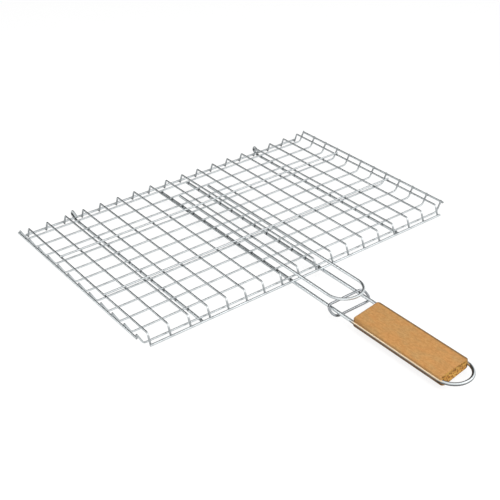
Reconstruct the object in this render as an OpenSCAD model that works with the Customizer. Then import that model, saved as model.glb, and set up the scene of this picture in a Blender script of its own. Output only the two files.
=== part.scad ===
// Wire grill basket: a tray with a wooden-gripped handle, a hooked-on lid and a sliding clasp ring.
// The X axis runs along the basket's long side, the handle points to -Y and the lid hinges at +Y.

/* [Basket] */
// Width between the two outermost lid wires
lid_width = 377.4; // [280:0.2:480]
// Number of lid wires, which run from front to back
lid_wires = 18; // [12:2:22]
// Depth between the first and the last tray wire
tray_depth = 238.7; // [180:0.1:310]
// Number of tray wires, which run from left to right
tray_wires = 12; // [8:1:16]
// Height of the tray's side walls, from its wires up to the rim
tray_wall = 10; // [8:0.5:20]
// How far the tray's side walls lean out from upright, in degrees
tray_lean = 28; // [5:1:40]
// Height of the lid, from its frame up to its wires
lid_rise = 10.3; // [8:0.1:24]
// How far the lid's front and back walls lean out from upright, in degrees
lid_lean = 21; // [5:1:35]
// Space between the outermost lid wire and the foot of the tray's side wall
side_gap = 4; // [3.5:0.5:12]
// Space between the last tray wire and the top of the lid's end wall
end_gap = 1.3; // [0.5:0.1:6]

/* [Wire] */
// Diameter of the grid wires and the lid's cross bars
grid_d = 2; // [1.6:0.1:2.6]
// Diameter of the tray's rims and of the lid's frame wires
frame_d = 2.4; // [1.8:0.1:3]
// Diameter of the hinge rails
rail_d = 3; // [2.4:0.1:3.6]
// Diameter of the handle's hairpin wire
handle_d = 3.5; // [3:0.1:5]
// Diameter of the closing loop
loop_d = 3; // [2.4:0.1:4]
// Diameter of the clasp ring
ring_d = 2.6; // [2:0.1:4]
// Bend radius of the tray wires at their centre line
tray_bend = 4; // [2:0.1:5]
// Bend radius of the lid wires at their centre line
lid_bend = 1.8; // [1.5:0.1:4]

/* [Hinge] */
// Lid wire, counted out from the middle, beside which a hinge rail stands
rail_bay = 6; // [3:1:6]
// Distance from that wire out to the hinge rail
rail_inset = 7.3; // [5:0.1:12]
// Angle at which a hook rises from its rail, in degrees
hook_lean = 26; // [20:1:60]
// Distance from the hinge rod back to a hook's crown
hook_reach = 8.3; // [6:0.1:12]
// Opening left between a hook's tip and its rail
hook_mouth = 1.7; // [0.8:0.1:2.2]

/* [Handle] */
// Distance between the handle's legs, centre to centre
leg_spread = 37.6; // [30:0.1:46]
// Free length of the legs between the lid's front frame and the grip
neck = 82.6; // [72:0.1:140]
// Length of the wooden grip
grip_length = 115.4; // [90:0.1:150]
// How far the grip's ends are cut out of square, in degrees
grip_skew = 7.5; // [0:0.5:10]
// How far inside the grip the bend of the hanging loop starts
loop_lead = 4.5; // [0:0.1:6]
// Thickness of the wooden grip
grip_thick = 9.6; // [9.6:0.1:18]
// How deep the legs are sunk into the grip's sides
groove_sink = 2.45; // [2:0.05:3]
// Radius of the grip's rounded long edges
grip_edge = 1.8; // [0.8:0.1:2.5]
// Radius of the rounding over the grip's two ends, as seen from the side
grip_end = 1.2; // [0.5:0.1:4.5]
// Radius of the grip's corners, as seen from above
grip_corner = 2.5; // [1:0.1:8]

/* [Closing loop and clasp] */
// Distance between the closing loop's arms, centre to centre
loop_spread = 39.4; // [32:0.1:42]
// How far the loop reaches past the lid's front frame
loop_reach = 70.5; // [56:0.5:76]
// Length of the loop's arms behind the rear cross bar
loop_tail = 34.6; // [10:0.1:60]
// Distance between the lid's two cross bars
bar_spread = 88.8; // [60:0.2:140]
// How far the loop's tip reaches out over the clasp ring's upper bar
loop_lap = 17; // [8:0.5:20]
// Distance between the clasp ring's two bars, centre to centre
ring_height = 14.2; // [12:0.1:20]
// Space between a handle leg's side and the clasp ring's bow
ring_play = 2; // [1.5:0.1:6]
// Bend radius at the clasp ring's corners
ring_bend = 6; // [4:0.1:6]

/* [Hidden] */
$fn = 48;

// Gap at a weld, so that welded wires touch and don't run into each other
weld_gap = 0.02;
// Gap between pieces that rest on or turn in each other
rest_gap = 0.3;
// Gap between the handle's legs and the grooves in the grip
groove_gap = 0.05;
// How far a wire's end stands past the wire that it is welded to
wire_tail = 2;
// How far a lid wire's foot stands past the middle of the frame wire
foot_tail = 0.8;
// How far the rails and the handle's legs run past the last tray wire
shank_tail = 4.3;
// Straight stretch at the crown of a hairpin bend
crown_flat = 0.5;
// Share of its diameter by which a wire thins where it is bent
bend_thinning = 0.02;
// How far a bend runs into the straight stretches beside it
bend_lap = 0.05;

// Heights: the legs lie in the middle of the grip, and the clasp ring stays clear of the ground
leg_z = max(grip_thick / 2, handle_d / 2 + rest_gap + ring_d);
leg_top = leg_z + handle_d / 2;
leg_bottom = leg_z - handle_d / 2;
rail_z = leg_top - rail_d / 2;
tray_z = leg_top + weld_gap + grid_d / 2;
frame_z = leg_top + rest_gap + frame_d / 2;
lid_z = frame_z + lid_rise;
bar_z = lid_z + grid_d + weld_gap;
arm_z = bar_z - grid_d / 2 - weld_gap - loop_d / 2;
ring_upper_z = leg_top + rest_gap + ring_d / 2;
ring_lower_z = leg_bottom - rest_gap - ring_d / 2;

// A frame or rim wire lies against the outside of the leaning wall wires
wall_weld = grid_d / 2 + weld_gap + frame_d / 2;
lid_leg = (lid_rise + wall_weld * sin(lid_lean)) / cos(lid_lean);
tray_leg = (tray_wall + wall_weld * sin(tray_lean)) / cos(tray_lean);

// Places across the basket
lid_pitch = lid_width / (lid_wires - 1);
tray_half = lid_width / 2 + side_gap;
rim_x = tray_half + tray_leg * sin(tray_lean) + wall_weld * cos(tray_lean);
rail_x = (rail_bay - 0.5) * lid_pitch + rail_inset;
leg_x = leg_spread / 2;
arm_x = loop_spread / 2;
grip_w = leg_spread - handle_d + 2 * groove_sink;
ring_x = leg_x + handle_d / 2 + ring_play + ring_d / 2;

// Places along the basket, measured from its middle
tray_pitch = tray_depth / (tray_wires - 1);
lid_half = tray_depth / 2 + end_gap;
frame_y = lid_half + lid_leg * sin(lid_lean) + wall_weld * cos(lid_lean);
hook_half = frame_d / 2 + rest_gap + rail_d / 2;
hook_bend = hook_half - crown_flat / 2;
hook_back = (hook_reach - hook_bend) * cos(hook_lean) + crown_flat / 2 * sin(hook_lean) + hook_bend;
hook_tip = ((hook_half - rail_d / 2) * (1 + cos(hook_lean)) - hook_mouth) / sin(hook_lean);
back_reach = frame_y + hook_back + rail_d * (1 - bend_thinning) / 2;
front_reach = frame_y + neck + grip_length - loop_lead + leg_x + handle_d / 2;

// The origin is under the middle of the whole object, so the basket's middle lies behind it
basket_y = (front_reach - back_reach) / 2;
hinge_y = basket_y + frame_y;
lid_front_y = basket_y - frame_y;
shank_back_y = basket_y + tray_depth / 2 + shank_tail;
shank_front_y = basket_y - tray_depth / 2 - shank_tail;
grip_front_y = lid_front_y - neck;
grip_back_y = grip_front_y - grip_length;
loop_tip_y = lid_front_y - loop_reach;
ring_upper_y = loop_tip_y + loop_lap;
ring_lower_y = ring_upper_y - sqrt(pow(ring_height, 2) - pow(ring_upper_z - ring_lower_z, 2));

// Names of the repeated wires, such as lid_wire_07
function numbered(name, i) = str(name, i < 10 ? "0" : "", i);
function tray_wire_name(i) = numbered("tray_wire_", i);
function lid_wire_name(i) = numbered("lid_wire_", i);

// A bent wire's path is a list of corner points, and each corner is rounded by an arc
function unit(v) = v / norm(v);
function corner(path, i) = path[(i + len(path)) % len(path)];
function into(path, i) = unit(corner(path, i) - corner(path, i - 1));
function out(path, i) = unit(corner(path, i + 1) - corner(path, i));
function turn(path, i) = acos(into(path, i) * out(path, i));
function is_end(path, i, closed) = !closed && (i == 0 || i == len(path) - 1);
function setback(path, bend_r, i, closed) =
  is_end(path, i, closed) ? 0 : bend_r * tan(turn(path, i % len(path)) / 2);

// Straight stretch of wire between two points
module wire_run(from, to, wire_d) {
  reach = to - from;
  translate(from)
    rotate([0, acos(reach[2] / norm(reach)), atan2(reach[1], reach[0])])
      cylinder(d = wire_d, h = norm(reach));
}

// Arc of wire that rounds one corner of a path
module wire_bend(path, bend_r, i, wire_d) {
  inward = unit(out(path, i) - (out(path, i) * into(path, i)) * into(path, i));
  start = path[i] - bend_r * tan(turn(path, i) / 2) * into(path, i);
  centre = start + bend_r * inward;
  x = -inward;
  y = into(path, i);
  z = cross(x, y);
  lap = bend_lap / bend_r * 180 / PI;
  multmatrix([
    [x[0], y[0], z[0], centre[0]],
    [x[1], y[1], z[1], centre[1]],
    [x[2], y[2], z[2], centre[2]],
    [0, 0, 0, 1]
  ])
    rotate([0, 0, -lap])
      rotate_extrude(angle = turn(path, i) + 2 * lap)
        translate([bend_r, 0])
          circle(d = wire_d * (1 - bend_thinning));
}

// Wire along a path, with one bend radius for all its corners
module bent_wire(path, wire_d, bend_r = 0, closed = false) {
  last = len(path) - 1;
  for (i = [0 : closed ? last : last - 1])
    wire_run(
      path[i] + setback(path, bend_r, i, closed) * out(path, i),
      corner(path, i + 1) - setback(path, bend_r, i + 1, closed) * out(path, i),
      wire_d
    );
  for (i = [closed ? 0 : 1 : 1 : closed ? last : last - 1])
    wire_bend(path, bend_r, i, wire_d);
}

// Tray wire i, counted from the back, with both ends turned up
module tray_wire(i) {
  y = basket_y + tray_depth / 2 - (i - 1) * tray_pitch;
  tip = tray_leg + wire_tail;
  tip_x = tray_half + tip * sin(tray_lean);
  tip_z = tray_z + tip * cos(tray_lean);
  color("silver")
    bent_wire(
      [[-tip_x, y, tip_z], [-tray_half, y, tray_z], [tray_half, y, tray_z], [tip_x, y, tip_z]],
      grid_d,
      tray_bend
    );
}

// Rim wire along the outside of the tray's wall, on the side that side (-1 or 1) gives
module tray_rim(side) {
  half = tray_depth / 2 + wire_tail;
  x = side * rim_x;
  z = tray_z + tray_wall;
  color("silver")
    bent_wire([[x, basket_y - half, z], [x, basket_y + half, z]], frame_d);
}

// Point beside the hinge rod, given along the rising hook and across it
function hook_point(x, along, across) = [
  x,
  hinge_y + along * cos(hook_lean) - across * sin(hook_lean),
  frame_z + along * sin(hook_lean) + across * cos(hook_lean)
];

// Rail under the tray wires, whose rear end rises and turns back over the hinge rod as a hook
module hinge_rail(side) {
  x = side * rail_x;
  color("darkgray")
    bent_wire(
      [
        [x, shank_front_y, rail_z],
        [x, hinge_y + hook_half * tan(hook_lean / 2), rail_z],
        hook_point(x, hook_reach, -hook_half),
        hook_point(x, hook_reach, hook_half),
        hook_point(x, -hook_tip, hook_half)
      ],
      rail_d,
      hook_bend
    );
}

// Hairpin wire whose legs are the handle's shank and whose crown is the hanging loop
module handle_hairpin(wire_d) {
  crown = grip_back_y + loop_lead - leg_x;
  bent_wire(
    [
      [-leg_x, shank_back_y, leg_z],
      [-leg_x, crown, leg_z],
      [leg_x, crown, leg_z],
      [leg_x, shank_back_y, leg_z]
    ],
    wire_d,
    leg_x - crown_flat / 2
  );
}

module handle_wire() {
  color("darkgray")
    handle_hairpin(handle_d);
}

// Flat outline with rounded corners
module rounded_outline(path, r) {
  last = len(path) - 1;
  polygon([
    for (i = [0 : last], way = [-1, 1])
      path[i] + way * setback(path, r, i, true) * (way < 0 ? into(path, i) : out(path, i))
  ]);
  for (i = [0 : last])
    translate(path[i] + r / cos(turn(path, i) / 2) * unit(out(path, i) - into(path, i)))
      circle(r);
}

// Corners of a rectangle about the origin, with its left side moved back and its right side forward by skew
function rectangle(size, skew = 0) = [
  for (c = [[-1, -1], [1, -1], [1, 1], [-1, 1]])
    [c[0] * size[0] / 2, c[1] * size[1] / 2 + c[0] * skew]
];

// Flat slat with rounded edges, slanted ends and a groove down each side for a leg of the handle wire
module wood_grip() {
  middle_y = (grip_front_y + grip_back_y) / 2;
  skew = grip_w / 2 * tan(grip_skew);
  color("peru")
    difference() {
      translate([0, middle_y, leg_z])
        intersection() {
          linear_extrude(grip_thick, center = true)
            rounded_outline(rectangle([grip_w, grip_length], skew), grip_corner);
          rotate([90, 0, 0])
            linear_extrude(grip_length + 2 * grip_w, center = true)
              rounded_outline(rectangle([grip_w, grip_thick]), grip_edge);
          rotate([90, 0, 90 + grip_skew])
            linear_extrude(2 * grip_w, center = true)
              rounded_outline(rectangle([grip_length * cos(grip_skew), grip_thick]), grip_end);
        }
      handle_hairpin(handle_d + 2 * groove_gap);
    }
}

// Lid wire i, counted from the left, with both ends turned down
module lid_wire(i) {
  x = -lid_width / 2 + (i - 1) * lid_pitch;
  foot = lid_leg + foot_tail;
  foot_y = lid_half + foot * sin(lid_lean);
  foot_z = lid_z - foot * cos(lid_lean);
  color("gainsboro")
    bent_wire(
      [
        [x, basket_y - foot_y, foot_z],
        [x, basket_y - lid_half, lid_z],
        [x, basket_y + lid_half, lid_z],
        [x, basket_y + foot_y, foot_z]
      ],
      grid_d,
      lid_bend
    );
}

// Straight wire across all the lid wires
module lid_cross_wire(y, z, wire_d) {
  half = lid_width / 2 + wire_tail;
  color("gainsboro")
    bent_wire([[-half, y, z], [half, y, z]], wire_d);
}

// Closing loop: a level hairpin under the cross bars, whose tip reaches out over the handle
module lid_loop() {
  rear = basket_y + bar_spread / 2 + loop_tail;
  color("lightgray")
    bent_wire(
      [
        [-arm_x, rear, arm_z],
        [-arm_x, loop_tip_y, arm_z],
        [arm_x, loop_tip_y, arm_z],
        [arm_x, rear, arm_z]
      ],
      loop_d,
      arm_x - crown_flat / 2
    );
}

// Closed ring round both handle legs, with its upper bar leaning towards the basket
module clasp_ring() {
  color("lightgray")
    bent_wire(
      [
        [-ring_x, ring_upper_y, ring_upper_z],
        [ring_x, ring_upper_y, ring_upper_z],
        [ring_x, ring_lower_y, ring_lower_z],
        [-ring_x, ring_lower_y, ring_lower_z]
      ],
      ring_d,
      ring_bend,
      closed = true
    );
}

for (i = [1 : tray_wires])
  tray_wire(i);
tray_rim(-1);  // tray_rim_left
tray_rim(1);  // tray_rim_right
hinge_rail(-1);  // hinge_rail_left
hinge_rail(1);  // hinge_rail_right
handle_wire();
wood_grip();
for (i = [1 : lid_wires])
  lid_wire(i);
lid_cross_wire(basket_y + bar_spread / 2, bar_z, grid_d);  // lid_bar_rear
lid_cross_wire(basket_y - bar_spread / 2, bar_z, grid_d);  // lid_bar_front
lid_cross_wire(lid_front_y, frame_z, frame_d);  // lid_frame_front
lid_cross_wire(hinge_y, frame_z, frame_d);  // lid_hinge_rod
lid_loop();
clasp_ring();
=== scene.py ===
"""Looks of the wire grill basket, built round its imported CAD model."""

import math
import random

import bpy
from mathutils import Matrix, Vector, noise


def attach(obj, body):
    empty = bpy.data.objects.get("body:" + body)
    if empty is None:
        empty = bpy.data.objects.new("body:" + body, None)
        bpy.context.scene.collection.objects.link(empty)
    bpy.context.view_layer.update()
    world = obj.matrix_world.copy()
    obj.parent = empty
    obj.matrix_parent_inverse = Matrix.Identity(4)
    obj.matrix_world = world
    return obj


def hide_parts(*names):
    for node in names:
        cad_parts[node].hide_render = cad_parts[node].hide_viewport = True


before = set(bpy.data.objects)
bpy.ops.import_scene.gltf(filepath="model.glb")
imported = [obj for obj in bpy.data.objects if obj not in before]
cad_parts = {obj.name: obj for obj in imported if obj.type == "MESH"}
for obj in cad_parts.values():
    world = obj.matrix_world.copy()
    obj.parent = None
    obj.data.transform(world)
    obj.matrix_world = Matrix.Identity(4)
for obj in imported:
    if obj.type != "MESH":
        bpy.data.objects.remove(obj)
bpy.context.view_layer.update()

# Sizes and places in millimetres, in the CAD model's frame
MM = 0.001
X, Y = Vector((1, 0, 0)), Vector((0, 1, 0))
GRID_D, FRAME_D, RAIL_D, HANDLE_D, LOOP_D, RING_D = 2.0, 2.4, 3.0, 3.5, 3.0, 2.6
TRAY_BEND, LID_BEND, BOW_FLAT = 4.0, 1.8, 0.25
TRAY_LEAN, LID_LEAN = math.radians(28), math.radians(21)
BASKET_Y = 102.366
LID_FIRST, LID_PITCH, LID_COUNT = -188.7, 22.2, 18
LID_X = [LID_FIRST + LID_PITCH * i for i in range(LID_COUNT)]
LID_HALF, LID_FOOT_Y, LID_Z, LID_FOOT_Z = 120.65, 125.196, 18.35, 6.507
TRAY_FIRST, TRAY_PITCH, TRAY_COUNT = 119.35, 21.7, 12
TRAY_Y = [BASKET_Y + TRAY_FIRST - TRAY_PITCH * i for i in range(TRAY_COUNT)]
TRAY_HALF, TRAY_TIP_X, TRAY_Z, TRAY_TIP_Z = 192.7, 199.51, 7.57, 20.378
RIM_X, RIM_Z, RIM_HALF = 200.53, 17.57, 121.35
FRAME_Y, FRAME_Z, CROSS_HALF = 126.982, 8.05, 190.7
BAR_Y, BAR_Z = 44.4, 20.37
BARS = {"rear": BASKET_Y + BAR_Y, "front": BASKET_Y - BAR_Y}
ARM_X, ARM_Z, ARM_BACK, LOOP_TIP = 19.7, 17.85, 181.366, -95.116
LEG_X, LEG_Z, LEG_BACK, CROWN_Y = 18.8, 4.8, 226.016, -236.916
RAIL_X, RAIL_Z, RAIL_FRONT = 129.4, 5.05, -21.284
HOOK_LEAN, HOOK_HALF, HOOK_REACH, HOOK_TIP, HOOK_BEND = math.radians(26), 3.0, 8.3, 2.62, 2.75
RING_X, RING_BEND, RING_STEP = 23.85, 6.0, 1.5
RING_UPPER, RING_LOWER = (-78.116, 8.15), (-90.636, 1.45)
RING_WELD_IN = 2.5
GRIP_FRONT, GRIP_BACK = -107.216, -222.616
GRIP_W, GRIP_T, GRIP_SKEW = 39.0, 9.6, math.tan(math.radians(7.5))
GRIP_EDGE, GRIP_LOW_LEFT, GRIP_LOW_RIGHT = 1.2, 3.8, 2.0
FAR_CORNER, FAR_ROUND, NEAR_CORNER, NEAR_ROUND = 3.8, 1.2, 2.0, 0.5
GROOVE_R, GRIP_LIP, LIP_FADE, LIP_MOUTH = 1.8, 1.0, 2.0, 0.10


def clamp(value, low=0.0, high=1.0):
    return min(max(value, low), high)


def bell(value, width):
    """1 at zero, and next to nothing from twice the width on."""
    return math.exp(-((value / width) ** 2))


def add_object(name, data):
    made = bpy.data.objects.new(name, data)
    bpy.context.scene.collection.objects.link(made)
    return made


# Materials


class Nodes:
    """Short spelling for building one material's node tree."""

    def __init__(self, name):
        self.material = bpy.data.materials.new(name)
        self.material.use_nodes = True
        self.tree = self.material.node_tree
        self.shader = self.tree.nodes["Principled BSDF"]

    def add(self, kind, inputs=None, **settings):
        node = self.tree.nodes.new(kind)
        for key, value in settings.items():
            setattr(node, key, value)
        for key, value in (inputs or {}).items():
            self.set(node.inputs[key], value)
        return node

    def set(self, socket, value):
        if isinstance(value, bpy.types.NodeSocket):
            self.tree.links.new(value, socket)
        else:
            socket.default_value = value

    def attribute(self, name, output="Fac"):
        return self.add("ShaderNodeAttribute", attribute_name=name).outputs[output]

    def place(self):
        return self.add("ShaderNodeTexCoord").outputs["Object"]

    def scaled(self, vector, scale):
        return self.add("ShaderNodeMapping", {"Vector": vector, "Scale": scale}).outputs["Vector"]

    def noise(self, vector, scale=1.0, detail=2.0, roughness=0.5, distortion=0.0):
        inputs = {
            "Vector": vector,
            "Scale": scale,
            "Detail": detail,
            "Roughness": roughness,
            "Distortion": distortion,
        }
        return self.add("ShaderNodeTexNoise", inputs).outputs["Fac"]

    def cells(self, vector):
        return self.add("ShaderNodeTexVoronoi", {"Vector": vector, "Scale": 1.0}).outputs["Distance"]

    def ramp(self, value, stops):
        """Colour ramp; stops are (position, grey or colour)."""
        node = self.add("ShaderNodeValToRGB", {"Fac": value})
        elements = node.color_ramp.elements
        while len(elements) < len(stops):
            elements.new(0.5)
        for element, (position, colour) in zip(elements, stops):
            element.position = position
            element.color = (*colour, 1.0) if isinstance(colour, tuple) else (colour, colour, colour, 1.0)
        return node.outputs["Color"]

    def mix(self, factor, a, b):
        node = self.add("ShaderNodeMix", data_type="RGBA")
        for socket, value in zip([node.inputs[0], node.inputs[6], node.inputs[7]], [factor, a, b]):
            self.set(socket, (*value, 1.0) if isinstance(value, tuple) else value)
        return node.outputs[2]

    def math(self, operation, a, b, clamped=False):
        node = self.add("ShaderNodeMath", operation=operation, use_clamp=clamped)
        self.set(node.inputs[0], a)
        self.set(node.inputs[1], b)
        return node.outputs[0]

    def bump(self, height, strength, distance, normal=None):
        inputs = {"Height": height, "Strength": strength, "Distance": distance}
        if normal is not None:
            inputs["Normal"] = normal
        return self.add("ShaderNodeBump", inputs).outputs["Normal"]

    def finish(self, **inputs):
        for key, value in inputs.items():
            self.set(self.shader.inputs[key.replace("_", " ")], value)
        return self.material


# Plating: its streaks per metre, and its colours under a painted grip reflection, painted highlights, burns,
# and soot and painted shade
DIE_STREAKS, CLOUDS, GRIT = (25.0, 2600.0, 2600.0), 45.0, 2600.0
STREAK_SHARE, CLOUD_SHARE = 0.45, 0.55
GRIP_REFLECTION_TINT, HIGHLIGHT_WHITE, SOOT_AND_SHADE = (1.000, 0.800, 0.550), (0.960, 0.975, 0.985), (0.015, 0.015, 0.016)
BURNT_DARK, BURNT_LIGHT, BURNT_SHARE, BURNT_ROUGH = 0.10, 0.42, 0.85, (0.5, 0.5, 0.5)
SOOT_GAIN, CLOUDED_ROUGH, PLAIN_GRIT = 2.5, 0.10, 0.08


def plated_wire(name, light, dark, gloss):
    """Drawn steel wire under a bright plating, with die streaks along it and faint clouding.

    Three point attributes change it: one makes it dull and burnt at welds, cut ends and other places and
    paints shade and shadow on it, black above 1; one paints a warm reflection of the wooden grip on it; one
    paints highlights on it.
    """
    n = Nodes(name)
    drawn = n.attribute("drawn", "Vector")
    weld = n.attribute("weld")
    place = n.place()
    streaks = n.noise(n.scaled(drawn, DIE_STREAKS), detail=3.0, roughness=0.6)
    clouds = n.noise(place, scale=CLOUDS, detail=3.0, roughness=0.55)
    grit = n.noise(place, scale=GRIT, detail=2.0, roughness=0.6)
    tone = n.math(
        "ADD", n.math("MULTIPLY", streaks, STREAK_SHARE), n.math("MULTIPLY", clouds, CLOUD_SHARE)
    )
    colour = n.ramp(tone, [(0.34, dark), (0.68, light)])
    # Painted warm reflection of the wooden grip
    colour = n.mix(n.attribute("grip_reflection"), colour, GRIP_REFLECTION_TINT)
    # Painted highlights
    colour = n.mix(n.attribute("bend_highlight"), colour, HIGHLIGHT_WHITE)
    burnt = n.mix(grit, tuple(BURNT_DARK * c for c in dark), tuple(BURNT_LIGHT * c for c in dark))
    colour = n.mix(n.math("MULTIPLY", weld, BURNT_SHARE, clamped=True), colour, burnt)
    # Above 1 the wire turns black: soot at welds, and painted shade and shadow
    black = n.math("MULTIPLY", n.math("SUBTRACT", weld, 1.0), SOOT_GAIN, clamped=True)
    colour = n.mix(black, colour, SOOT_AND_SHADE)
    rough = n.ramp(tone, [(0.30, gloss + CLOUDED_ROUGH), (0.70, gloss)])
    rough = n.mix(n.math("MINIMUM", weld, 1.0), rough, BURNT_ROUGH)
    normal = n.bump(streaks, strength=0.15, distance=0.00004)
    gritty = n.math("MULTIPLY", grit, n.math("ADD", weld, PLAIN_GRIT))
    normal = n.bump(gritty, strength=0.5, distance=0.00012, normal=normal)
    return n.finish(Base_Color=colour, Metallic=1.0, Roughness=rough, Normal=normal)


# Wood: how often its patterns repeat per metre across, along and through the slat, and its colours
BOARDS, FIBRES, SPECKLE = (60.0, 9.0, 60.0), (1100.0, 60.0, 1100.0), (560.0, 330.0, 560.0)
BLOTCHES, FLECKS = (120.0, 55.0, 120.0), (900.0, 160.0, 900.0)
PORES, RINGS, PATCHES = (430.0, 200.0, 430.0), (120.0, 30.0, 420.0), 220.0
BOARD_TONES = [
    (0.30, (0.525, 0.270, 0.090)),
    (0.52, (0.520, 0.276, 0.094)),
    (0.72, (0.508, 0.276, 0.098)),
]
REDDISH, OLIVE, FIBRE = (0.600, 0.262, 0.078), (0.455, 0.285, 0.118), (0.470, 0.228, 0.073)
GRAIN_DARK, GRAIN_LIGHT, FLECK = (0.405, 0.196, 0.064), (0.605, 0.338, 0.122), (0.36, 0.155, 0.042)
END_DARK, END_LIGHT, PORE = (0.52, 0.225, 0.038), (0.76, 0.425, 0.095), (0.22, 0.072, 0.010)
WOOD_DARK_AND_SHADE = (0.075, 0.044, 0.020)
GRAIN_SHARE, FLECK_SHARE, PORE_SHARE, DARKENING_SHARE = 0.48, 0.16, 0.85, 0.92
DARKENING_PATCHY, DARKENING_EVEN = 0.6, 0.65


def slat_wood(name):
    """Light hardwood: straight grain along Y, short flecks, pored ends, darker grooves and edges, partly
    painted shade.
    """
    n = Nodes(name)
    place = n.place()
    end = n.attribute("sawn")

    boards = n.noise(n.scaled(place, BOARDS), detail=3.0, roughness=0.55, distortion=0.3)
    fibres = n.noise(n.scaled(place, FIBRES), detail=4.0, roughness=0.6)
    speckle = n.noise(n.scaled(place, SPECKLE), detail=2.0, roughness=0.7)
    blotches = n.noise(n.scaled(place, BLOTCHES), detail=2.0, roughness=0.6)
    fleck = n.ramp(n.cells(n.scaled(place, FLECKS)), [(0.10, 1.0), (0.34, 0.0)])
    colour = n.ramp(boards, BOARD_TONES)
    colour = n.mix(n.ramp(blotches, [(0.44, 0.0), (0.66, 0.75)]), colour, REDDISH)
    colour = n.mix(n.ramp(blotches, [(0.32, 0.75), (0.50, 0.0)]), colour, OLIVE)
    colour = n.mix(n.ramp(fibres, [(0.40, 0.0), (0.75, 0.5)]), colour, FIBRE)
    grain = n.ramp(speckle, [(0.36, GRAIN_DARK), (0.64, GRAIN_LIGHT)])
    colour = n.mix(GRAIN_SHARE, colour, grain)
    colour = n.mix(n.math("MULTIPLY", fleck, FLECK_SHARE), colour, FLECK)

    pore = n.ramp(n.cells(n.scaled(place, PORES)), [(0.28, 1.0), (0.54, 0.0)])
    rings = n.noise(n.scaled(place, RINGS), detail=3.0, roughness=0.5, distortion=0.6)
    end_colour = n.ramp(rings, [(0.32, END_DARK), (0.66, END_LIGHT)])
    end_colour = n.mix(n.math("MULTIPLY", pore, PORE_SHARE), end_colour, PORE)
    colour = n.mix(end, colour, end_colour)

    patches = n.noise(place, scale=PATCHES, detail=3.0, roughness=0.6)
    # Darker in the grooves and near the top's ends and corners; painted shade on the lower lips and the top's
    # right edge
    patches = n.math("ADD", n.math("MULTIPLY", patches, DARKENING_PATCHY), DARKENING_EVEN)
    soil = n.math("MULTIPLY", n.attribute("soil"), patches, clamped=True)
    colour = n.mix(n.math("MULTIPLY", soil, DARKENING_SHARE), colour, WOOD_DARK_AND_SHADE)

    rough = n.ramp(fibres, [(0.3, 0.52), (0.75, 0.66)])
    height = n.math("SUBTRACT", n.math("MULTIPLY", fibres, 0.5), n.math("MULTIPLY", fleck, 0.5))
    height = n.mix(end, height, n.math("MULTIPLY", pore, -1.0))
    normal = n.bump(height, strength=0.35, distance=0.00012)
    return n.finish(Base_Color=colour, Roughness=rough, Normal=normal, Specular_IOR_Level=0.22)


# One plating in lit and shaded copies: each family's colours and gloss are painted for how light falls on
# those wires
GRID = plated_wire("plated_wire_lit_copy_grid", (0.490, 0.520, 0.532), (0.390, 0.414, 0.423), gloss=0.22)
BAR = plated_wire("plated_wire_lit_copy_bar", (0.670, 0.705, 0.718), (0.570, 0.600, 0.611), gloss=0.32)
FLOOR_GRID = plated_wire("plated_wire_lit_copy_tray", (0.600, 0.632, 0.643), (0.510, 0.537, 0.547), gloss=0.28)
FRAME = plated_wire("plated_wire_lit_copy_frame", (0.640, 0.675, 0.688), (0.530, 0.560, 0.571), gloss=0.24)
HEAVY = plated_wire("plated_wire_lit_copy_heavy", (0.820, 0.864, 0.879), (0.700, 0.738, 0.752), gloss=0.30)
RIM = plated_wire("plated_wire_lit_copy_rim", (0.600, 0.633, 0.645), (0.500, 0.528, 0.538), gloss=0.40)
RING = plated_wire("plated_wire_lit_copy_ring", (0.430, 0.449, 0.469), (0.330, 0.345, 0.361), gloss=0.20)
WOOD = slat_wood("slat_wood")


# Wires

GRID_SIDES, RAIL_SIDES, LOOP_SIDES, HANDLE_SIDES = 12, 14, 16, 18
BEND_STEP = 7.5  # most degrees between two points of a bend
SHARP_EDGE = math.radians(38)
CHAMFER, CHAMFER_LONG = 0.14, 0.8  # of a cut end: its width in diameters, and its length in widths
WEAR_LEAST, WEAR, WEAR_WAVE = 0.001, 0.006, 0.05
BEND_WEAR, BEND_TURN = 0.02, 0.02
HEAT_REACH, NO_WELD = 1.5, 99.0
END_DULL, TIP_DULL = 0.8, 0.9
SEED_SHIFT = 40.0  # how far apart the streaks of two wires are taken
UNDER_FROM, UNDER_FADE = 0.35, 0.7  # height of a wire's side, from -1 to 1, where the painted shade on its underside starts
STEEP, STEEP_FADE = 0.9, 0.3  # slope from which on a wire has no painted shade on its underside
UPRIGHT = 0.9
BEAD_SIDES, BEAD_ROWS = 10, 5
BEAD_SWELL, BEAD_LUMPS, BEAD_SEED = 0.22, 1.4, 3.7


def rounded(path, bend_r=0.0, closed=False, step=2.5):
    """Points along a bent wire's centre line, with arcs at its corners."""
    path = [Vector(p) for p in path]
    count = len(path)
    stretches = []
    for i, corner in enumerate(path):
        if not closed and i in (0, count - 1):
            stretches.append([corner])
            continue
        into = (corner - path[i - 1]).normalized()
        out = (path[(i + 1) % count] - corner).normalized()
        turn = into.angle(out)
        start = corner - bend_r * math.tan(turn / 2) * into
        inward = (out - out.dot(into) * into).normalized()
        centre = start + bend_r * inward
        arcs = max(4, math.ceil(math.degrees(turn) / BEND_STEP))
        angles = [turn * k / arcs for k in range(arcs + 1)]
        stretches.append([centre + bend_r * (math.sin(a) * into - math.cos(a) * inward) for a in angles])
    points = list(stretches[0])
    for stretch in stretches[1:] + ([stretches[0][:1]] if closed else []):
        start, end = points[-1], stretch[0]
        runs = max(1, round((end - start).length / step))
        points += [start.lerp(end, k / runs) for k in range(1, runs)]
        points += stretch
    return points[:-1] if closed else points


def hairpin(x, back, tip, z):
    """Centre line of a wire bent double round a bow at its tip."""
    return rounded([(-x, back, z), (-x, tip, z), (x, tip, z), (x, back, z)], x - BOW_FLAT)


def nothing_darkened(point):
    return 0.0


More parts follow.
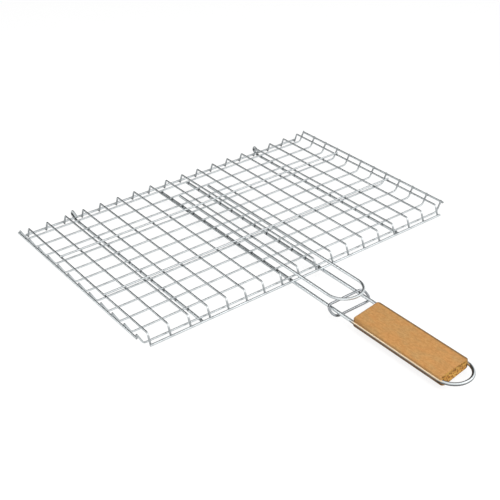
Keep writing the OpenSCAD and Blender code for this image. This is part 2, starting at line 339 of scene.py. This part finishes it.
class Shape:
    """Wire mesh under construction, in millimetres, with its point attributes."""

    def __init__(self):
        self.verts, self.faces, self.drawn, self.weld = [], [], [], []
        self.extra = {}

    def ring(self, first, second, sides):
        for k in range(sides):
            j = (k + 1) % sides
            self.faces.append((first + k, first + j, second + j, second + k))

    def fan(self, base, sides, tip, outward):
        """Faces from a ring of points to one tip."""
        for k in range(sides):
            edge = (base + k, base + (k + 1) % sides)
            self.faces.append((*edge, tip) if outward else (*reversed(edge), tip))

    def tube(
        self, points, wire_d, sides, welds=(), closed=False, seed=0, heat=1.0, under=0.0, dull_and_shade_at=nothing_darkened
    ):
        """Wire along points, with chamfered cut ends unless it is closed.

        heat says how burnt it is at its welds, under how much shade is painted on its underside, and the last
        argument, a function of each point, how dull it is and how much shade is painted on it elsewhere.
        """
        r = wire_d / 2
        cut = CHAMFER * wire_d
        count = len(points)
        tangents = []
        for i in range(count):
            before = points[i - 1] if closed or i else points[0]
            after = points[(i + 1) % count] if closed or i < count - 1 else points[-1]
            tangents.append((after - before).normalized())
        rings = [(points[i], tangents[i], 1.0) for i in range(count)]
        if not closed:
            first, last = rings[0], rings[-1]
            rings = [
                (first[0], first[1], 1 - 2 * cut / wire_d),
                (first[0] + CHAMFER_LONG * cut * first[1], first[1], 1.0),
                *rings[1:-1],
                (last[0] - CHAMFER_LONG * cut * last[1], last[1], 1.0),
                (last[0], last[1], 1 - 2 * cut / wire_d),
            ]
        up = Vector((0, 0, 1)) if abs(tangents[0].z) < UPRIGHT else Vector((1, 0, 0))
        side = (up - up.dot(tangents[0]) * tangents[0]).normalized()
        length, start = 0.0, len(self.verts)
        for i, (point, tangent, size) in enumerate(rings):
            side = (side - side.dot(tangent) * tangent).normalized()
            other = tangent.cross(side)
            if i:
                length += (point - rings[i - 1][0]).length
            worn = max(WEAR_LEAST, WEAR * (1 + noise.noise(Vector((WEAR_WAVE * length, seed, 0.5)))))
            if i and i < len(rings) - 1:
                turn = (point - rings[i - 1][0]).angle(rings[i + 1][0] - point, 0.0)
                worn = max(worn, BEND_WEAR) if turn > BEND_TURN else worn
            near = min(((point - w).length for w in welds), default=NO_WELD)
            dull = heat * bell(near, HEAT_REACH + 0.5 * r)
            underside_level = under * clamp((STEEP - abs(tangent.z)) / STEEP_FADE)
            for k in range(sides):
                angle = 2 * math.pi * k / sides
                spoke = math.cos(angle) * side + math.sin(angle) * other
                vert = point + r * size * (1 - worn) * spoke
                self.verts.append(vert)
                self.drawn.append((length + SEED_SHIFT * seed, r * math.cos(angle), r * math.sin(angle)))
                # Painted shade on the underside of the wire
                underside_shade = underside_level * clamp((UNDER_FROM - spoke.z) / UNDER_FADE)
                self.weld.append(max(dull, underside_shade, dull_and_shade_at(vert), END_DULL if size < 1 else 0.0))
        total = len(rings)
        for i in range(total if closed else total - 1):
            self.ring(start + i * sides, start + (i + 1) % total * sides, sides)
        if not closed:
            for index in (0, total - 1):
                tip = len(self.verts)
                self.verts.append(rings[index][0])
                self.drawn.append((length, 0.0, 0.0))
                self.weld.append(TIP_DULL)
                self.fan(start + index * sides, sides, tip, outward=index > 0)
        return self

    def bead(self, at, along, across, size, seed, heat=1.0):
        """Small uneven weld nugget, flattened between the two wires that cross at that point."""
        along, across = Vector(along).normalized(), Vector(across).normalized()
        normal = along.cross(across).normalized()
        sides, rows = BEAD_SIDES, BEAD_ROWS
        start = len(self.verts)
        for row in range(1, rows):
            lift = math.pi * row / rows
            for k in range(sides):
                angle = 2 * math.pi * k / sides
                flat = math.sin(lift)
                way = Vector((flat * math.cos(angle), flat * math.sin(angle), math.cos(lift)))
                swell = 1 + BEAD_SWELL * noise.noise(BEAD_LUMPS * way + Vector((seed * BEAD_SEED, 0, 0)))
                reach = size[0] * way.x * along + size[1] * way.y * across + size[2] * way.z * normal
                self.verts.append(at + swell * reach)
        for row in range(rows - 2):
            self.ring(start + row * sides, start + (row + 1) * sides, sides)
        for base, sign in ((start, 1), (start + (rows - 2) * sides, -1)):
            tip = len(self.verts)
            self.verts.append(at + sign * size[2] * normal)
            self.fan(base, sides, tip, outward=sign < 0)
        added = len(self.verts) - start
        self.drawn += [tuple(v) for v in self.verts[start:]]
        self.weld += [heat] * added

    def build(self, node, body, slot, material):
        """Object in metres that stands for one CAD node."""
        mesh = bpy.data.meshes.new(node + "_drawn")
        mesh.from_pydata([v * MM for v in self.verts], [], self.faces)
        drawn = [c * MM for v in self.drawn for c in v]
        mesh.attributes.new("drawn", "FLOAT_VECTOR", "POINT").data.foreach_set("vector", drawn)
        add_values(mesh, weld=self.weld, **self.extra)
        place_piece(mesh, node, body, material)


def add_values(mesh, **attributes):
    for name, values in attributes.items():
        mesh.attributes.new(name, "FLOAT", "POINT").data.foreach_set("value", values)


def place_piece(mesh, node, body, material):
    mesh.validate()
    mesh.polygons.foreach_set("use_smooth", [True] * len(mesh.polygons))
    mesh.set_sharp_from_angle(angle=SHARP_EDGE)
    mesh.materials.append(material)
    piece = add_object(mesh.name, mesh)
    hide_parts(node)
    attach(piece, body)


SWAY_OFFSET, LONG_SWAY, LONG_WAVE, SHORT_SWAY, SHORT_WAVE, FULL_TURN = 0.22, 0.14, 52, 0.08, 19, 6.28


def sway(kind, i, along):
    """How far a hand-fed grid wire strays sideways from its place, in millimetres."""
    draw = random.Random(f"{kind}{i}")
    offset = draw.uniform(-SWAY_OFFSET, SWAY_OFFSET)
    a, b = draw.uniform(0, FULL_TURN), draw.uniform(0, FULL_TURN)
    long_wave = LONG_SWAY * math.sin(along / LONG_WAVE + a)
    return offset + long_wave + SHORT_SWAY * math.sin(along / SHORT_WAVE + b)


def lid_x(i, y):
    return LID_X[i] + sway("lid", i, y - BASKET_Y)


def tray_y(i, x):
    return TRAY_Y[i] + sway("tray", i, x)


def lid_wall(side):
    """The way down the lid's front (-1) or back (1) wall, and the way square to it."""
    cos, sin = math.cos(LID_LEAN), math.sin(LID_LEAN)
    return Vector((0, side * sin, -cos)), Vector((0, side * cos, sin))


def tray_wall(side):
    """The way up the tray's left (-1) or right (1) wall, and the way square to it."""
    cos, sin = math.cos(TRAY_LEAN), math.sin(TRAY_LEAN)
    return Vector((side * sin, 0, cos)), Vector((side * cos, 0, -sin))


# Points where wires are welded together, found from the swayed wires
THIN_BEAD, FRAME_BEAD, HEAVY_BEAD = (1.35, 1.35, 0.50), (1.45, 1.35, 0.55), (1.75, 1.35, 0.60)
lid_welds = [[] for _ in LID_X]
bar_welds = {name: [] for name in BARS}
frame_welds = {-1: [], 1: []}
for i, welds in enumerate(lid_welds):
    for name, y in BARS.items():
        point = Vector((lid_x(i, y), y, LID_Z + GRID_D / 2))
        welds.append(point)
        bar_welds[name].append(point)
    for side in (-1, 1):
        foot = Vector((lid_x(i, BASKET_Y + side * LID_HALF), BASKET_Y + side * FRAME_Y, FRAME_Z))
        point = foot - FRAME_D / 2 * lid_wall(side)[1]
        welds.append(point)
        frame_welds[side].append(point)
loop_welds = [Vector((s * ARM_X, y, ARM_Z + LOOP_D / 2)) for s in (-1, 1) for y in BARS.values()]

tray_welds = [[] for _ in TRAY_Y]
rim_welds, rail_welds, leg_welds = {-1: [], 1: []}, {-1: [], 1: []}, []
for i, welds in enumerate(tray_welds):
    for side in (-1, 1):
        rim = Vector((side * RIM_X, tray_y(i, side * TRAY_HALF), RIM_Z)) - FRAME_D / 2 * tray_wall(side)[1]
        rail = Vector((side * RAIL_X, tray_y(i, side * RAIL_X), TRAY_Z - GRID_D / 2))
        leg = Vector((side * LEG_X, tray_y(i, side * LEG_X), TRAY_Z - GRID_D / 2))
        welds += [rim, rail, leg]
        rim_welds[side].append(rim)
        rail_welds[side].append(rail)
        leg_welds.append(leg)


# Weld stains and painted shadows in front of crossings: how far in front, how long, how black, and where they
# get points
SMEAR_AT, SMEAR_LONG, SMEAR_BLACK, SMEAR_END = 2.0, 1.0, 1.5, 4
SMEAR_POINTS, POINT_GAP = (-1.6, -0.8, 0.0, 0.8, 1.6), 0.1
FAINT = 0.85  # of the smears on lid wires and rails


def weld_stain_and_shadow(p, welds):
    """Weld stain and painted shadow of the upper wire on the lower wire, just in front of the crossing; black
    above 1.
    """
    gaps = [(p.y - w.y + SMEAR_AT) / SMEAR_LONG for w in welds]
    return max((SMEAR_BLACK * bell(gap, 1.0) for gap in gaps if abs(gap) < SMEAR_END), default=0.0)


def smear_cut(points, welds):
    """Points of a wire along Y, with more of them where the smears are."""
    marks = [w.y - SMEAR_AT + SMEAR_LONG * k for w in welds for k in SMEAR_POINTS]
    cut = points[:1]
    for a, b in zip(points, points[1:]):
        low, high = sorted((a.y, b.y))
        between = sorted((y for y in marks if low + POINT_GAP < y < high - POINT_GAP), reverse=a.y > b.y)
        cut += [a.lerp(b, (y - a.y) / (b.y - a.y)) for y in between] + [b]
    return cut


# Lid: wires, frames, cross bars and closing loop

FOOT_BLACK, FOOT_BLACK_LONG = 1.15, 2.4
FOOT_DULL, FOOT_DULL_TOP, FOOT_DULL_FADE = 0.36, 16.5, 2
BEND_HIGHLIGHT, BEND_BELOW, BEND_LONG, BEND_FADE = 0.65, 0.9, 1.0, 1.5
LOOP_DULL, LOOP_DULL_FADE, BOW_DULL = 0.45, 30, 0.32


def lid_dark_marks(p):
    """Lid wires are black at their feet, darker below their top, and get weld stains with painted shadows in
    front of the cross bars.
    """
    burnt = FOOT_BLACK * bell(p.z - LID_FOOT_Z, FOOT_BLACK_LONG)
    dull = FOOT_DULL * clamp((FOOT_DULL_TOP - p.z) / FOOT_DULL_FADE)
    return max(burnt, dull, FAINT * weld_stain_and_shadow(p, lid_welds[0][: len(BARS)]))


def lid_bend_highlight(p):
    """Painted highlight at the front bends of the lid wires."""
    bend = BEND_HIGHLIGHT * bell(p.z - LID_Z + BEND_BELOW, BEND_LONG)
    return bend * clamp((BASKET_Y - p.y - LID_HALF + BEND_FADE) / BEND_FADE)


lid_line = rounded(
    [
        (0, BASKET_Y - LID_FOOT_Y, LID_FOOT_Z),
        (0, BASKET_Y - LID_HALF, LID_Z),
        (0, BASKET_Y + LID_HALF, LID_Z),
        (0, BASKET_Y + LID_FOOT_Y, LID_FOOT_Z),
    ],
    LID_BEND,
)
for i, welds in enumerate(lid_welds):
    line = []
    for p in lid_line:
        y = clamp(p.y, BASKET_Y - LID_HALF, BASKET_Y + LID_HALF)
        line.append(Vector((lid_x(i, y), p.y, p.z)))
    line = smear_cut(line, welds[: len(BARS)])
    shape = Shape().tube(line, GRID_D, GRID_SIDES, welds, seed=i, heat=0.3, under=0.35, dull_and_shade_at=lid_dark_marks)
    shape.extra["bend_highlight"] = [lid_bend_highlight(p) for p in shape.verts]
    shape.build(f"lid_wire_{i + 1:02d}", "lid", "grid_wire", GRID)

for side, node in ((-1, "lid_frame_front"), (1, "lid_hinge_rod")):
    y = BASKET_Y + side * FRAME_Y
    line = rounded([(-CROSS_HALF, y, FRAME_Z), (CROSS_HALF, y, FRAME_Z)])
    shape = Shape().tube(line, FRAME_D, GRID_SIDES, frame_welds[side], seed=20 + side, heat=0.5, under=0.3)
    for k, point in enumerate(frame_welds[side]):
        shape.bead(point, X, lid_wall(side)[0], FRAME_BEAD, seed=k + 50 * side, heat=0.5)
    shape.build(node, "lid", "grid_wire", FRAME)

for name, y in BARS.items():
    welds = bar_welds[name] + [w for w in loop_welds if abs(w.y - y) < 1]
    line = rounded([(-CROSS_HALF, y, BAR_Z), (CROSS_HALF, y, BAR_Z)])
    shape = Shape().tube(line, GRID_D, GRID_SIDES, welds, seed=25 + len(name), heat=0.15, under=0.75)
    for k, point in enumerate(welds):
        size = THIN_BEAD if k < LID_COUNT else HEAVY_BEAD
        shape.bead(point, X, Y, size, seed=k + 7 * len(name), heat=0.6)
    shape.build(f"lid_bar_{name}", "lid", "grid_wire", BAR)


def loop_grime(p):
    """Closing loop is dull over the basket, clean at the neck and a little dull again at its bow."""
    over_basket = LOOP_DULL * clamp((p.y - RAIL_FRONT) / LOOP_DULL_FADE)
    return max(over_basket, BOW_DULL if p.y < LOOP_TIP + ARM_X else 0.0)


line = hairpin(ARM_X, ARM_BACK, LOOP_TIP, ARM_Z)
shape = Shape().tube(line, LOOP_D, LOOP_SIDES, loop_welds, seed=31, under=0.7, dull_and_shade_at=loop_grime)
shape.build("lid_loop", "lid", "heavy_wire", HEAVY)


# Tray: wires, rims, hinge rails and the handle's hairpin

WALL_DULL, WALL_FROM, WALL_FADE = 0.55, 2, 3
# Painted shade: black inside the hooks, and along the rails growing to the back
HOOK_SHADE, HOOK_INSIDE, HOOK_FADE, HOOK_SHADE_FROM, HOOK_SHADE_TO = 1.3, 2.6, 0.8, -3, 7.6
RAIL_SHADE, RAIL_SHADE_RISE = {-1: 0.28, 1: 0.46}, 0.0008
# Painted shade on the legs under the tray, and painted dark sides with one highlight line beyond the neck
LEG_SHADE = 0.57
PAINTED_DARK_SIDES, BRIGHT_FROM, BRIGHT_TO, BRIGHT_FADE = 1.15, 40, 64, 20
GRIP_REFLECTION_FADE = 2


def tray_grime(p):
    """Tray wires are dull where their right-hand ends are turned up."""
    return WALL_DULL * clamp((p.z - TRAY_Z - WALL_FROM) / WALL_FADE) if p.x > 0 else 0.0


tray_line = rounded(
    [
        (-TRAY_TIP_X, 0, TRAY_TIP_Z),
        (-TRAY_HALF, 0, TRAY_Z),
        (TRAY_HALF, 0, TRAY_Z),
        (TRAY_TIP_X, 0, TRAY_TIP_Z),
    ],
    TRAY_BEND,
)
for i, welds in enumerate(tray_welds):
    line = [Vector((p.x, tray_y(i, clamp(p.x, -TRAY_HALF, TRAY_HALF)), p.z)) for p in tray_line]
    shape = Shape().tube(line, GRID_D, GRID_SIDES, welds, seed=40 + i, heat=0.25, dull_and_shade_at=tray_grime)
    shape.build(f"tray_wire_{i + 1:02d}", "tray", "grid_wire", FLOOR_GRID)


def hook_point(x, along, across):
    """Point beside the hinge rod, along the rising hook and across it."""
    cos, sin = math.cos(HOOK_LEAN), math.sin(HOOK_LEAN)
    return (x, BASKET_Y + FRAME_Y + along * cos - across * sin, FRAME_Z + along * sin + across * cos)


def rail_shade_and_stains(p):
    """Rails get painted shade, growing to the back and most on the right, black in their hooks, and weld
    stains with shadows.
    """
    side = 1 if p.x > 0 else -1
    y, z = p.y - BASKET_Y - FRAME_Y, p.z - FRAME_Z
    along = y * math.cos(HOOK_LEAN) + z * math.sin(HOOK_LEAN)
    across = z * math.cos(HOOK_LEAN) - y * math.sin(HOOK_LEAN)
    in_hook = HOOK_SHADE_FROM < along < HOOK_SHADE_TO
    inside = HOOK_SHADE * clamp((HOOK_INSIDE - abs(across)) / HOOK_FADE) if in_hook else 0.0
    dull = RAIL_SHADE[side] + RAIL_SHADE_RISE * (p.y - RAIL_FRONT)
    return max(dull, inside, FAINT * weld_stain_and_shadow(p, rail_welds[side]))


for side, name in ((-1, "left"), (1, "right")):
    ends = [(side * RIM_X, BASKET_Y + s * RIM_HALF, RIM_Z) for s in (-1, 1)]
    shape = Shape().tube(rounded(ends), FRAME_D, GRID_SIDES, rim_welds[side], seed=60 + side, heat=0.3)
    for k, point in enumerate(rim_welds[side]):
        shape.bead(point, Y, tray_wall(side)[0], FRAME_BEAD, seed=k + 90 * side, heat=0.35)
    # Left and right rims take a lighter and a darker copy of the plating: painted light and shade
    shape.build(f"tray_rim_{name}", "tray", "grid_wire", BAR if side < 0 else RIM)

    x = side * RAIL_X
    line = rounded(
        [
            (x, RAIL_FRONT, RAIL_Z),
            (x, BASKET_Y + FRAME_Y + HOOK_HALF * math.tan(HOOK_LEAN / 2), RAIL_Z),
            hook_point(x, HOOK_REACH, -HOOK_HALF),
            hook_point(x, HOOK_REACH, HOOK_HALF),
            hook_point(x, -HOOK_TIP, HOOK_HALF),
        ],
        HOOK_BEND,
    )
    line = smear_cut(line, rail_welds[side])
    shape = Shape().tube(
        line, RAIL_D, RAIL_SIDES, rail_welds[side], seed=64 + side, under=0.6, dull_and_shade_at=rail_shade_and_stains
    )
    for k, point in enumerate(rail_welds[side]):
        shape.bead(point, X, Y, HEAVY_BEAD, seed=k + 120 * side)
    shape.build(f"hinge_rail_{name}", "tray", "heavy_wire", HEAVY)


def leg_shade_and_stains(p):
    """Legs: painted shade, stains and shadows under the tray, none at the neck, beyond painted dark with one
    highlight.
    """
    if p.y > RAIL_FRONT:
        return max(LEG_SHADE, weld_stain_and_shadow(p, leg_welds))
    if p.y > GRIP_FRONT:
        return 0.0
    out = math.hypot(p.x, min(0.0, p.y - CROWN_Y - LEG_X)) - LEG_X
    angle = math.degrees(math.atan2(p.z - LEG_Z, out))
    from_bright = max(BRIGHT_FROM - angle, angle - BRIGHT_TO if p.y < GRIP_BACK else 0.0)
    return PAINTED_DARK_SIDES * clamp(from_bright / BRIGHT_FADE)


def leg_grip_reflection(p):
    """Painted warm reflection of the wooden grip on the wire that lies in its grooves."""
    inside = min(GRIP_FRONT + p.x * GRIP_SKEW - p.y, p.y - p.x * GRIP_SKEW - GRIP_BACK)
    return clamp(inside / GRIP_REFLECTION_FADE)


line = smear_cut(hairpin(LEG_X, LEG_BACK, CROWN_Y, LEG_Z), leg_welds)
shape = Shape().tube(line, HANDLE_D, HANDLE_SIDES, leg_welds, seed=70, under=0.7, dull_and_shade_at=leg_shade_and_stains)
for k, point in enumerate(leg_welds):
    shape.bead(point, X, Y, HEAVY_BEAD, seed=k + 200)
shape.extra["grip_reflection"] = [leg_grip_reflection(p) for p in shape.verts]
shape.build("handle_wire", "tray", "heavy_wire", HEAVY)


# Clasp ring, closed by a butt weld at its lower left
corners = ((RING_UPPER, -1), (RING_UPPER, 1), (RING_LOWER, 1), (RING_LOWER, -1))
line = rounded([(s * RING_X, *end) for end, s in corners], RING_BEND, closed=True, step=RING_STEP)
ring_weld = Vector((-RING_X + RING_WELD_IN, *RING_LOWER))
shape = Shape().tube(line, RING_D, RAIL_SIDES, [ring_weld], closed=True, seed=80, heat=1.3, under=0.95)
shape.build("clasp_ring", "clasp", "heavy_wire", RING)


# Wooden grip

MOST_ROUND = 0.85  # of the slat's half thickness
LEAST_TOP, LEAST_UNDER, UNDER_STEP = 0.3, 0.2, 0.3
ACROSS = [-0.965, *(-1 + k / 9 for k in range(1, 18)), 0.965]
END_DEPTHS = [0.0, 0.06, 0.2, 0.5, 0.9, 1.4, 2.0, 2.8, 4.0, 5.4, 7.0]
END_SIZES = (0.12, 0.35, 0.6, 0.82)
INNER_STEPS = 44
SAWN_DEPTH = 0.45
SLOPE_LONG, SLOPE_MIDDLE, SLOPE_SIDE = 8.0, 1.6, 1.2
DIP, DIP_WAVES = 0.04, (0.16, 0.05, 0.3)
GROOVE_DARK, LIP_SHADE, ARRIS_SHADE = 0.8, 0.95, 0.85
NEAR_RIM_DARK, FAR_RIM_DARK, FAR_LEFT_DARK, NEAR_RIGHT_DARK = 0.3, 0.4, 0.55, 0.5
TOP_FROM = 2.5  # height over mid-thickness from which on the top's edges and ends are darkened


def grip_edge(r, half_t):
    """Rounded edge from a face to the side, measured from the side and from mid-thickness."""
    arc = [k * math.pi / 12 for k in range(7)]
    return [(r * math.sin(a) - r, half_t - r + r * math.cos(a)) for a in arc]


def grip_side(half_w, half_t, y, lip, low_r):
    """One half of the slat's outline at a station: top edge, groove, and a lower lip that stands proud."""
    edge, low_edge = min(GRIP_EDGE, MOST_ROUND * half_t), min(low_r, MOST_ROUND * half_t)
    bend = CROWN_Y + LEG_X - y
    groove_x = math.sqrt(LEG_X**2 - bend**2) if bend > 0 else LEG_X
    low_w = half_w + lip
    mouth = math.acos(clamp((half_w - groove_x) / GROOVE_R, -1.0, 1.0))
    low_mouth = LIP_MOUTH if lip and groove_x == LEG_X else mouth
    top = max(LEAST_TOP, GROOVE_R * math.sin(mouth))
    under = max(LEAST_UNDER, GROOVE_R * math.sin(low_mouth)) + UNDER_STEP
    upper = [(half_w + x, z) for x, z in grip_edge(edge, half_t)]
    upper += [(half_w, half_t - edge + (top - half_t + edge) * k / 3) for k in (1, 2)]
    sweep = 2 * math.pi - mouth - low_mouth
    groove = [mouth + sweep * k / 12 for k in range(13)]
    groove = [(groove_x + GROOVE_R * math.cos(a), GROOVE_R * math.sin(a)) for a in groove]
    lower = [(low_w, -under - (half_t - low_edge - under) * k / 4) for k in range(4)]
    lower += [(low_w + x, -z) for x, z in reversed(grip_edge(low_edge, half_t))]
    return upper + groove + lower


def inset(r, depth):
    """How far a corner of radius r draws back at a depth from the slat's end."""
    return r - math.sqrt(max(0.0, r * r - (r - depth) ** 2)) if depth < r else 0.0


def grip_section(y):
    """Outline of the slat across X and Z at one station along its middle."""
    near, far = y - GRIP_BACK, GRIP_FRONT - y
    depth = min(near, far)
    corner, end_round = (FAR_CORNER, FAR_ROUND) if far < near else (NEAR_CORNER, NEAR_ROUND)
    half_w = GRIP_W / 2 - inset(corner, depth)
    half_t = GRIP_T / 2 - inset(end_round, depth)
    lip = GRIP_LIP * min(1.0, depth / LIP_FADE)
    right = grip_side(half_w, half_t, y + LEG_X * GRIP_SKEW, lip, GRIP_LOW_RIGHT)
    left = grip_side(half_w, half_t, y - LEG_X * GRIP_SKEW, lip, GRIP_LOW_LEFT)
    left = [(-x, z) for x, z in reversed(left)]
    top, low, low_left = right[0][0], right[-1][0], left[0][0]
    under = [((low + low_left) / 2 - (low - low_left) / 2 * a, -half_t) for a in ACROSS]
    return right + under + left + [(top * a, half_t) for a in ACROSS]


def grip_point(x, y, z):
    """Place of a point of the slat, with its ends cut out of square and its near end sawn on a slope."""
    near = max(0.0, 1 - (y - GRIP_BACK) / SLOPE_LONG)
    slope = (0.5 + z / GRIP_T) * (SLOPE_MIDDLE - SLOPE_SIDE * x / (GRIP_W / 2))
    waves = Vector((DIP_WAVES[0] * x, DIP_WAVES[1] * y, DIP_WAVES[2] * z))
    dip = DIP * (1 + noise.noise(waves))
    return Vector(
        (
            x - dip * x / (GRIP_W / 2),
            y + x * GRIP_SKEW + slope * near,
            LEG_Z + z - dip * z / (GRIP_T / 2),
        )
    )


def ramp(value, start, width):
    return clamp((value - start) / width)


def grip_soil(x, z, near, far):
    """Darker in the grooves and at the ends and two corners of the top; painted shade on the lower lips and
    the top's right edge.
    """
    half = GRIP_W / 2
    to_groove = math.hypot(abs(x) - LEG_X, z) - GROOVE_R
    groove = math.exp(-max(0.0, to_groove) / 0.3) if abs(x) < half + 0.4 else 0.0
    groove *= 0.35 if x < 0 < z else 1.0
    # Painted shade on the lower lips
    low = ramp(-z, start=0.1, width=0.5) * ramp(abs(x), start=half - 2.6, width=2.0)
    # Painted shade along the top's right edge
    arris = ARRIS_SHADE * ramp(x, start=half - 2.4, width=0.6)
    rim = max(NEAR_RIM_DARK * math.exp(-near / 0.35), FAR_RIM_DARK * math.exp(-far / 1.1))
    far_left = FAR_LEFT_DARK * ramp(-x, start=half - 4.0, width=3.0) * math.exp(-far / 14)
    near_right = NEAR_RIGHT_DARK * ramp(x, start=half - 5.0, width=4.0) * math.exp(-near / 9)
    top_edges = max(arris, rim, far_left, near_right) if z > TOP_FROM else 0.0
    return min(1.0, GROOVE_DARK * groove + LIP_SHADE * low + top_edges)


length, end_depth = GRIP_FRONT - GRIP_BACK, END_DEPTHS[-1]
inner = [end_depth + (length - 2 * end_depth) * k / INNER_STEPS for k in range(1, INNER_STEPS)]
stations = [GRIP_BACK + d for d in END_DEPTHS + inner] + [GRIP_FRONT - d for d in reversed(END_DEPTHS)]
rings = [(GRIP_BACK, size) for size in END_SIZES]
rings += [(y, 1.0) for y in stations]
rings += [(GRIP_FRONT, size) for size in reversed(END_SIZES)]
verts, faces, soil, sawn = [], [], [], []
for y, size in rings:
    near, far = y - GRIP_BACK, GRIP_FRONT - y
    for x, z in grip_section(y):
        x, z = size * x, size * z
        verts.append(grip_point(x, y, z))
        soil.append(grip_soil(x, z, near, far))
        sawn.append(max(0.0, 1.0 - min(near, far) / SAWN_DEPTH))
around = len(verts) // len(rings)
for r in range(len(rings) - 1):
    for k in range(around):
        j = (k + 1) % around
        faces.append((r * around + k, r * around + j, (r + 1) * around + j, (r + 1) * around + k))
faces.append(tuple(reversed(range(around))))
faces.append(tuple(range((len(rings) - 1) * around, len(rings) * around)))
mesh = bpy.data.meshes.new("wood_grip_slat")
mesh.from_pydata([v * MM for v in verts], [], faces)
add_values(mesh, soil=soil, sawn=sawn)
place_piece(mesh, "wood_grip", "tray", WOOD)


# Camera at the photograph's viewing angle
CAMERA_AT, SENSOR_WIDTH, FOCAL_LENGTH = (-0.535877, -0.645932, 0.544918), 36.0, 69.415
CAMERA_TURN, CAMERA_DOWN, CAMERA_ROLL = -36.6052, 31.7738, -1.3457
camera = add_object("camera", bpy.data.cameras.new("camera"))
camera.data.sensor_width = SENSOR_WIDTH
camera.data.lens = FOCAL_LENGTH
camera.data.clip_start = 0.01
camera.matrix_world = (
    Matrix.Translation(CAMERA_AT)
    @ Matrix.Rotation(math.radians(CAMERA_TURN), 4, "Z")
    @ Matrix.Rotation(math.radians(90 - CAMERA_DOWN), 4, "X")
    @ Matrix.Rotation(math.radians(CAMERA_ROLL), 4, "Z")
)
bpy.context.scene.camera = camera


# Floor, light and background
FLOOR_HALF, FLOOR_Z = 6, -0.0055
FLOOR_GLOW, FLOOR_SEEN, FLOOR_GREY = 0.84, 0.22, 0.45
AMBIENT, BACKDROP = 0.30, 1.0
CARD_R, CARD_LOW, CARD_STEPS = 2.4, 0.03, 10


def shown(tree):
    """1 for camera, glossy and transmission rays, which see the white background."""
    path = tree.nodes.new("ShaderNodeLightPath")
    total = path.outputs["Is Camera Ray"]
    for name in ("Is Glossy Ray", "Is Transmission Ray"):
        add = tree.nodes.new("ShaderNodeMath")
        add.operation = "MAXIMUM"
        tree.links.new(total, add.inputs[0])
        tree.links.new(path.outputs[name], add.inputs[1])
        total = add.outputs[0]
    return total


def diffuse(tree, grey):
    node = tree.nodes.new("ShaderNodeBsdfDiffuse")
    node.inputs["Color"].default_value = (grey, grey, grey, 1)
    return node.outputs[0]


def background(tree, strength):
    node = tree.nodes.new("ShaderNodeBackground")
    node.inputs["Color"].default_value = (1, 1, 1, 1)
    node.inputs["Strength"].default_value = strength
    return node.outputs[0]


def surface(tree, output, unseen, seen):
    """End a tree with one shader for the rays that light the object and another for those that are seen."""
    choice = tree.nodes.new("ShaderNodeMixShader")
    for socket, value in zip(choice.inputs, (shown(tree), unseen, seen)):
        tree.links.new(value, socket)
    tree.links.new(choice.outputs[0], tree.nodes.new(output).inputs["Surface"])


floor_mesh = bpy.data.meshes.new("floor")
square = [(-1, -1), (1, -1), (1, 1), (-1, 1)]
floor_mesh.from_pydata([(FLOOR_HALF * x, FLOOR_HALF * y, FLOOR_Z) for x, y in square], [], [(0, 1, 2, 3)])
floor = add_object("floor", floor_mesh)
floor_material = bpy.data.materials.new("pale_floor")
floor_material.use_nodes = True
tree = floor_material.node_tree
tree.nodes.clear()
glow = tree.nodes.new("ShaderNodeEmission")
glow.inputs["Strength"].default_value = FLOOR_GLOW
lifted = tree.nodes.new("ShaderNodeAddShader")
tree.links.new(diffuse(tree, FLOOR_SEEN), lifted.inputs[0])
tree.links.new(glow.outputs[0], lifted.inputs[1])
surface(tree, "ShaderNodeOutputMaterial", diffuse(tree, FLOOR_GREY), lifted.outputs[0])
floor_mesh.materials.append(floor_material)

world = bpy.data.worlds.new("studio")
bpy.context.scene.world = world
world.use_nodes = True
tree = world.node_tree
tree.nodes.clear()
surface(tree, "ShaderNodeOutputWorld", background(tree, AMBIENT), background(tree, BACKDROP))


def softbox(name, at, size, power, reflected):
    """Rectangular lamp aimed at the basket; reflected says whether bright wire mirrors it."""
    lamp = bpy.data.lights.new(name, "AREA")
    lamp.shape = "RECTANGLE"
    lamp.size, lamp.size_y = size
    lamp.energy = power
    box = add_object(name, lamp)
    box.location = at
    box.rotation_euler = (-Vector(at)).to_track_quat("-Z", "Y").to_euler()
    box.visible_camera = False
    box.visible_glossy = reflected


def card(name, start, end, top, radiance):
    """Curved screen that only reflections see, between two azimuths and up to an elevation, in degrees."""
    turns = [math.radians(start + (end - start) * k / CARD_STEPS) for k in range(CARD_STEPS + 1)]
    rise = CARD_R * math.tan(math.radians(top))
    row = len(turns)
    mesh = bpy.data.meshes.new(name)
    mesh.from_pydata(
        [(CARD_R * math.cos(a), CARD_R * math.sin(a), z) for z in (CARD_LOW, rise) for a in turns],
        [],
        [(k, k + 1, k + 1 + row, k + row) for k in range(CARD_STEPS)],
    )
    screen = add_object(name, mesh)
    for kind in ("camera", "diffuse", "transmission", "shadow", "volume_scatter"):
        setattr(screen, "visible_" + kind, False)
    material = bpy.data.materials.new(name)
    material.use_nodes = True
    shader = material.node_tree.nodes["Principled BSDF"]
    shader.inputs["Base Color"].default_value = (0, 0, 0, 1)
    shader.inputs["Specular IOR Level"].default_value = 0
    shader.inputs["Emission Color"].default_value = (1, 1, 1, 1)
    shader.inputs["Emission Strength"].default_value = radiance
    mesh.materials.append(material)


# Screens that draw the dark and the light lines along bright wire
card("dark_card", start=30, end=122, top=60, radiance=0.04)
card("light_card", start=-160, end=-25, top=42, radiance=1.6)

# Lamps that light the wood and floor only, and two strips that wire mirrors as well
softbox("key", at=(-0.15, -1.35, 1.4), size=(1.3, 1.0), power=20.0, reflected=False)
softbox("left_fill", at=(-1.3, -0.7, 0.6), size=(0.8, 0.5), power=8.0, reflected=False)
softbox("overhead", at=(0.0, 0.2, 1.7), size=(1.2, 1.2), power=8.0, reflected=False)
softbox("front_strip", at=(0.96, -0.82, 1.42), size=(0.6, 0.5), power=2.4, reflected=True)
softbox("back_strip", at=(-1.03, 1.37, 1.03), size=(0.6, 0.5), power=2.4, reflected=True)

bpy.context.scene.view_settings.view_transform = "Standard"
